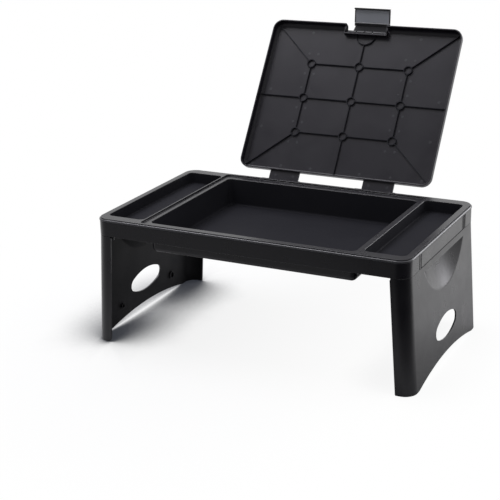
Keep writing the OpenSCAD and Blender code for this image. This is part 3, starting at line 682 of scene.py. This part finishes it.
def leg_mesh():
    """The upright right leg, with its wall's two faces joined round its outline and its hand hole."""
    bm = bmesh.new()
    for outer, inner in zip(leg_skin(bm, 0), leg_skin(bm, WALL)):
        for i in range(len(outer)):
            j = (i + 1) % len(outer)
            bm.faces.new((outer[i], outer[j], inner[j], inner[i]))
    for front in (-1, 1):
        knuckle = [circle(KNUCKLE_R, (PIVOT_X, PIVOT_Z), 30), circle(LEG_PIN_R, (PIVOT_X, PIVOT_Z))]
        root = SKIRT_Y - WALL + JOIN
        solid(bm, knuckle, 1, front * (root - JOIN - KNUCKLE_W), front * root)
        middle, outer, bore = BACK_BOSS if front > 0 else FRONT_BOSS
        before = len(bm.faces)
        boss = [circle(outer, middle, 30), circle(bore, middle)]
        solid(bm, boss, 0, LEG_OUT - WALL - BOSS_H, LEG_OUT - WALL + JOIN)
        # The bosses take the dark core finish, partly as painted shade.
        finish(bm, before, CORE_SIDE)
    return bm


# The legs' outsides are the tray's satin finish, and their insides are the matte core side, darker and low
# in sheen, partly as painted shade.
leg_plastic = moulded_black("satin black polypropylene, legs", "141319", 0.30, 0.8)
pivot = Matrix.Translation((PIVOT_X, 0, PIVOT_Z))
lean = pivot @ Matrix.Rotation(-SPLAY, 4, "Y") @ pivot.inverted()
piece("right_leg_shell", leg_mesh(), [leg_plastic, core_and_shade_plastic], "right_leg",
      lean, bevel=0.3)
piece("left_leg_shell", leg_mesh(), [leg_plastic, core_and_shade_plastic], "left_leg",
      Matrix.Rotation(math.pi, 4, "Z") @ lean, bevel=0.3)

# The pins: drawn and zinc-plated steel rod, cut to length with chamfered ends and pushed home.
# Plating leaves a clear grey metal with fine drawn marks.
PIN_CHAMFER = 0.35
pin_steel = bpy.data.materials.new("zinc-plated steel")
pin_steel.use_nodes = True
tree = pin_steel.node_tree
shader = tree.nodes["Principled BSDF"]
shader.inputs["Metallic"].default_value = 1.0
place = add_node(tree, "ShaderNodeTexCoord")
long_marks = add_node(tree, "ShaderNodeMapping", {"Scale": (60, 3000, 3000)},
                      {"Vector": place.outputs["Object"]})
marks = add_node(tree, "ShaderNodeTexNoise", {"Scale": 1.0, "Detail": 3.0},
                 {"Vector": long_marks.outputs["Vector"]})
clouds = add_node(tree, "ShaderNodeTexNoise", {"Scale": 400.0, "Detail": 3.0},
                  {"Vector": place.outputs["Object"]})
plating = add_node(tree, "ShaderNodeMix", {"data_type": "RGBA", 6: srgb("B4B6B8"), 7: srgb("C9CACB")},
                   {0: clouds.outputs["Fac"]})
drawn = add_node(tree, "ShaderNodeMapRange", {"To Min": 0.24, "To Max": 0.4},
                 {"Value": marks.outputs["Fac"]})
relief = add_node(tree, "ShaderNodeBump", {"Strength": 0.3, "Distance": 0.00002},
                  {"Height": marks.outputs["Fac"]})
tree.links.new(plating.outputs[2], shader.inputs["Base Color"])
tree.links.new(drawn.outputs["Result"], shader.inputs["Roughness"])
tree.links.new(relief.outputs["Normal"], shader.inputs["Normal"])


def pin_mesh(radius, axis, middle, start, end):
    """A round pin with chamfered ends along an axis; the middle is its place across that axis."""
    bm = bmesh.new()
    rings = []
    for r, place in ((radius - PIN_CHAMFER, start), (radius, start + PIN_CHAMFER),
                     (radius, end - PIN_CHAMFER), (radius - PIN_CHAMFER, end)):
        ring = [list(point) for point in circle(r, middle, 32)]
        for point in ring:
            point.insert(axis, place)
        rings.append(ring)
    made = loft(bm, rings)
    bm.faces.new(made[0])
    bm.faces.new(made[-1])
    return bm


hinge_pin_half = TAB_W / 2 + TAB_PLAY + EAR_W
for side, place in (("left", -TAB_X), ("right", TAB_X)):
    bm = pin_mesh(HINGE_PIN_R, 0, (HINGE_Y, HINGE_Z), place - hinge_pin_half, place + hinge_pin_half)
    piece(f"{side}_lid_pin", bm, [pin_steel], f"{side}_hinge_pin")
LEG_PIN_START, LEG_PIN_END = LUG_Y0 - 1, SKIRT_Y - 1
for side, sign in (("left", -1), ("right", 1)):
    for end, way in (("front", -1), ("back", 1)):
        ends = sorted((way * LEG_PIN_START, way * LEG_PIN_END))
        bm = pin_mesh(LEG_PIN_R, 1, (sign * PIVOT_X, PIVOT_Z), *ends)
        piece(f"{side}_{end}_pivot_pin", bm, [pin_steel], f"{side}_{end}_leg_pin")

# The lid: one moulded shell with softly rounded edges, made closed and then turned open about its pins.
# Thin ribs join nine ring bosses under it, and two hinge tabs reach over the tray's back rim.
LID_X, LID_Y0, LID_Y1, LID_Z0, LID_Z1 = 185.0, -151.0, 145.0, 217.3, 233.0
LID_R, LID_EDGE, LID_LIP = 18.0, 8.0, 0.6
LID_OPEN = math.radians(124.3)
LID_MIDDLE_Y = (LID_Y0 + LID_Y1) / 2
LID_HALF_Y = (LID_Y1 - LID_Y0) / 2
LATCH_Y, LATCH_Z, LATCH_R = -138.5, 229.5, 3.5
NOTCH_X, NOTCH_RIB = 39.5, 12.0
COVER_W, PIVOT_GAP = 66.0, 0.3
RING_R, RING_WALL, RING_X, RING_Y = 8.4, 1.8, 95.0, 68.0
RIB_T, RIB_H, BOW_R = 1.4, 3.0, 19.0
STRAP_Z, STRAP_T = 221.0, 3.0
EAR_JOIN, PLATE_JOIN, MARK_H = 0.4, 0.3, 0.15

bm = bmesh.new()
plate_z = LID_Z1 - WALL
inner_edge = LID_EDGE - WALL
section = [(LID_EDGE - across, z) for across, z in arc(inner_edge, 90, 0, (0, LID_Z1 - LID_EDGE), 7)]
section += [(WALL - LID_LIP - across, z) for across, z in arc(LID_LIP, 180, 270, (0, LID_Z0 + LID_LIP), 3)]
section += [(LID_LIP - across, z) for across, z in arc(LID_LIP, 270, 360, (0, LID_Z0 + LID_LIP), 3)]
section += [(LID_EDGE - across, z) for across, z in arc(LID_EDGE, 0, 90, (0, LID_Z1 - LID_EDGE), 9)]
rings = [outline(LID_X - inset, LID_HALF_Y - inset, LID_R - inset, z, (0, LID_MIDDLE_Y), opening=NOTCH_X)
         for inset, z in section]
made = loft(bm, rings, closed=False)
notch = {z: [bm.verts.new((side * NOTCH_X, LATCH_Y, z)) for side in (-1, 1)] for z in (plate_z, LID_Z1)}
fill(bm, made[0] + notch[plate_z])
fill(bm, made[-1] + notch[LID_Z1])
bm.faces.new((*notch[plate_z], *reversed(notch[LID_Z1])))
fill(bm, [ring[0] for ring in made] + [notch[LID_Z1][1], notch[plate_z][1]])
fill(bm, [ring[-1] for ring in made] + [notch[LID_Z1][0], notch[plate_z][0]])

# The notch for the latch, with its wall, its side walls and the ears that hold the latch pin.
back_y = LATCH_Y + LATCH_R + PIVOT_GAP
rib_z = plate_z + EAR_JOIN
block(bm, -NOTCH_X - WALL, NOTCH_X + WALL, back_y, back_y + WALL, LID_Z1 - NOTCH_RIB, rib_z)
ear_w = NOTCH_X - COVER_W / 2 - PIVOT_GAP
for side in (-1, 1):
    x0, x1 = sorted((side * NOTCH_X, side * (NOTCH_X + WALL)))
    block(bm, x0, x1, LID_Y0 + WALL / 2, back_y + EAR_JOIN, LID_Z1 - NOTCH_RIB, LID_Z1 - LID_EDGE)
    block(bm, x0, x1, LATCH_Y - 3, back_y + EAR_JOIN, LID_Z1 - NOTCH_RIB, rib_z)
    ear = [*arc(LATCH_R, 90, 270, (LATCH_Y, LATCH_Z), 16), (back_y + EAR_JOIN, LATCH_Z - LATCH_R),
           (back_y + EAR_JOIN, LATCH_Z + LATCH_R)]
    x0, x1 = sorted((side * (NOTCH_X + EAR_JOIN), side * (NOTCH_X - ear_w)))
    solid(bm, [ear], 0, x0, x1)


def rib(bm, start, end):
    """A thin rib under the lid between two points, a little into the plate."""
    way = Vector(end) - Vector(start)
    side = Vector((-way.y, way.x)).normalized() * RIB_T / 2
    corners = [Vector(start) + side, Vector(end) + side, Vector(end) - side, Vector(start) - side]
    solid(bm, [[tuple(corner) for corner in corners]], 2, plate_z - RIB_H, plate_z + PLATE_JOIN)


before = len(bm.faces)
ring_reach = RING_R - RING_WALL / 2
inner_x = LID_X - WALL / 2
corner_inset = LID_R * (1 - math.cos(math.radians(45))) + WALL / 2
for i in (-1, 0, 1):
    for j in (-1, 0, 1):
        x, y = i * RING_X, LID_MIDDLE_Y + j * RING_Y
        loops = [circle(RING_R, (x, y), 48), circle(RING_R - RING_WALL, (x, y), 36)]
        solid(bm, loops, 2, plate_z - RIB_H, plate_z + PLATE_JOIN)
        if i < 1:
            rib(bm, (x + ring_reach, y), (x + RING_X - ring_reach, y))
        if j < 1:
            rib(bm, (x, y + ring_reach), (x, y + RING_Y - ring_reach))
        if i and j:
            corner = Vector((i * (LID_X - corner_inset), LID_MIDDLE_Y + j * (LID_HALF_Y - corner_inset)))
            middle = Vector((x, y))
            rib(bm, middle + (corner - middle).normalized() * ring_reach, corner)
    if i:
        rib(bm, (i * (RING_X + ring_reach), LID_MIDDLE_Y), (i * inner_x, LID_MIDDLE_Y))
rib(bm, (0, LID_MIDDLE_Y + RING_Y + ring_reach), (0, LID_Y1 - WALL / 2))
rib(bm, (0, LATCH_Y + LATCH_R + BOW_R), (0, LID_MIDDLE_Y - RING_Y - ring_reach))
bow_middle = (0, back_y + WALL / 2)
bow = arc(BOW_R, 0, 180, bow_middle, 32) + arc(BOW_R - RIB_T, 180, 0, bow_middle, 32)
solid(bm, [bow], 2, plate_z - RIB_H, plate_z + PLATE_JOIN)
# The ribs, rings and bow take the low-sheen matte finish, as painted shade.
finish(bm, before, MATTE_SHADE)
for side in (-1, 1):
    for x, y in ((165, -15), (165, 60), (165, 133), (107, 133), (48, 133), (106, -133)):
        mark(bm, side * x, y, 2.8, plate_z - MARK_H, plate_z + PLATE_JOIN)
    for x in (RING_X - 9, RING_X + 9):
        for j in (-1, 0, 1):
            for end in (-20, 20):
                y = LID_MIDDLE_Y + j * RING_Y + end
                mark(bm, side * x, y, 2.3, plate_z - MARK_H, plate_z + PLATE_JOIN)

# The hinge tabs: a strap over the back rim, a drop to the barrel round the pin, and a heel shaped like a
# stop. They are moulded with the lid.
GUSSET_T = 3.0
BARREL_FROM, BARREL_TO = 70.5, 306.9
HEEL_Y, HEEL_Z = 174.76, HINGE_Z - 0.8 * BARREL_R
drop_y = HINGE_Y + BARREL_R
for side in (-1, 1):
    x0, x1 = side * TAB_X - TAB_W / 2, side * TAB_X + TAB_W / 2
    tab = [(LID_Y1 - WALL / 2, STRAP_Z), (drop_y - STRAP_T, STRAP_Z)]
    tab += arc(BARREL_R, BARREL_FROM, BARREL_TO, (HINGE_Y, HINGE_Z), 30)
    tab += [(HEEL_Y, HEEL_Z), (HEEL_Y, HINGE_Z), (drop_y, HINGE_Z), (drop_y, STRAP_Z + STRAP_T)]
    tab += [(LID_Y1 - WALL / 2, STRAP_Z + STRAP_T)]
    solid(bm, [tab, circle(HINGE_PIN_R + PIN_PLAY, (HINGE_Y, HINGE_Z))], 0, x0, x1)
    gusset_y, gusset_z = drop_y - STRAP_T + PLATE_JOIN, STRAP_Z + PLATE_JOIN
    gusset = [(HINGE_Y - 1.5, HINGE_Z + 2), (HINGE_Y - 2.5, gusset_z), (gusset_y, gusset_z),
              (gusset_y, HINGE_Z + 2)]
    for place in (x0, x1 - GUSSET_T):
        solid(bm, [gusset], 0, place, place + GUSSET_T)
    for share in (-0.3, 0.3):
        mark(bm, side * TAB_X + share * TAB_W, LID_Y1 + 9, 2.4, STRAP_Z - 0.2, STRAP_Z + 0.3)
pivot = Matrix.Translation((0, HINGE_Y, HINGE_Z))
open_lid = pivot @ Matrix.Rotation(-LID_OPEN, 4, "X") @ pivot.inverted()
# The lid is satin but less shiny than the tray, so it stays an even dark grey where it faces the room.
lid_plastic = moulded_black("satin black polypropylene, lid", "1F1D25", 0.36, 0.9, 0.4)
piece("lid_shell", bm, [lid_plastic, ejector_polish, matte_shade_plastic], "lid",
      open_lid, bevel=0.3)

# The latch: a thin moulding that turns on its own pin. A barrel, a cover that slopes over the rim, and a
# bordered plate with a hook that reaches under the tray's skirt.
LATCH_OPEN = math.radians(60)
LATCH_W, LATCH_T = 70.0, 2.0
LATCH_OUT, SHOULDER_Z, CREST_Y, INNER_SHOULDER_Z = -165.8, 220.7, -150.06, 219.72
FOOT_Z, HOOK_T, HOOK_Y = 186.4, 2.2, -160.2
BORDER_W, BORDER_T, RIDGE_Z, RIDGE_H = 2.0, 0.6, 212.8, 1.6
LATCH_PIN_R = 1.25
BARREL_PARTS = ((0, 0.19), (0.22, 0.44), (0.47, 0.66), (0.69, 1))
PLATE_REFLECTION, RIDGE_HIGHLIGHT, COVER = 1, 2, 3
bm = bmesh.new()
plate_y = LATCH_OUT + LATCH_T
cover_inner = CREST_Y + LATCH_T * math.tan(math.radians(19))
strip = [(LATCH_OUT, SHOULDER_Z), (LATCH_OUT, INNER_SHOULDER_Z - 1.5), (plate_y, INNER_SHOULDER_Z - 1.5),
         (plate_y, INNER_SHOULDER_Z), (cover_inner, LID_Z1 - LATCH_T), (LATCH_Y, LID_Z1 - LATCH_T),
         (LATCH_Y, LID_Z1), (CREST_Y, LID_Z1)]
solid(bm, [strip], 0, -COVER_W / 2, COVER_W / 2)
# The cover strip takes the dark core finish, partly as painted shade.
finish(bm, 0, COVER)
loops = [circle(LATCH_R, (LATCH_Y, LATCH_Z), 30), circle(LATCH_PIN_R + PIN_PLAY, (LATCH_Y, LATCH_Z))]
for start, end in BARREL_PARTS:
    solid(bm, loops, 0, (start - 0.5) * COVER_W, (end - 0.5) * COVER_W)
plate = [(LATCH_OUT, FOOT_Z), (HOOK_Y, FOOT_Z), (HOOK_Y, FOOT_Z + HOOK_T), (plate_y, FOOT_Z + HOOK_T),
         (plate_y, INNER_SHOULDER_Z), (LATCH_OUT, INNER_SHOULDER_Z)]
solid(bm, [plate], 0, -LATCH_W / 2, LATCH_W / 2)
for side in (-1, 1):
    x0, x1 = sorted((side * LATCH_W / 2, side * (LATCH_W / 2 - BORDER_W)))
    block(bm, x0, x1, plate_y - 0.3, plate_y + BORDER_T, FOOT_Z + 0.1, RIDGE_Z + 0.3)
# The ridge is painted paler, as a painted highlight.
before = len(bm.faces)
block(bm, -LATCH_W / 2, LATCH_W / 2, plate_y - 0.3, plate_y + BORDER_T, RIDGE_Z, RIDGE_Z + RIDGE_H)
finish(bm, before, RIDGE_HIGHLIGHT)
# The plate is painted pale grey, as a painted reflection.
before = len(bm.faces)
half = LATCH_W / 2 - BORDER_W
block(bm, -half, half, plate_y - 0.3, plate_y + 0.1, FOOT_Z + HOOK_T + 1, RIDGE_Z - 0.2)
finish(bm, before, PLATE_REFLECTION)
pivot = Matrix.Translation((0, LATCH_Y, LATCH_Z))
open_latch = pivot @ Matrix.Rotation(-LATCH_OPEN, 4, "X") @ pivot.inverted()

# The plate and the ridge above it are painted pale grey, the ridge a little paler, as a painted reflection
# and a painted highlight. Both are written paler than they look here, because the front of the studio is
# dim.
latch_painted_reflection = moulded_black("smooth pale grey polypropylene, latch plate", "A3A6AE", 0.24, 0.6)
ridge_painted_highlight = moulded_black("pale polypropylene, latch ridge", "B8BABF", 0.3, 0.6)
latch_plastic = moulded_black("satin black polypropylene, latch", "141319", 0.34, 0.8)
piece("latch_flap", bm, [latch_plastic, latch_painted_reflection, ridge_painted_highlight, core_and_shade_plastic], "latch",
      open_lid @ open_latch, bevel=0.25)
bm = pin_mesh(LATCH_PIN_R, 0, (LATCH_Y, LATCH_Z), -NOTCH_X, NOTCH_X)
piece("latch_flap_pin", bm, [pin_steel], "latch_pin", open_lid)
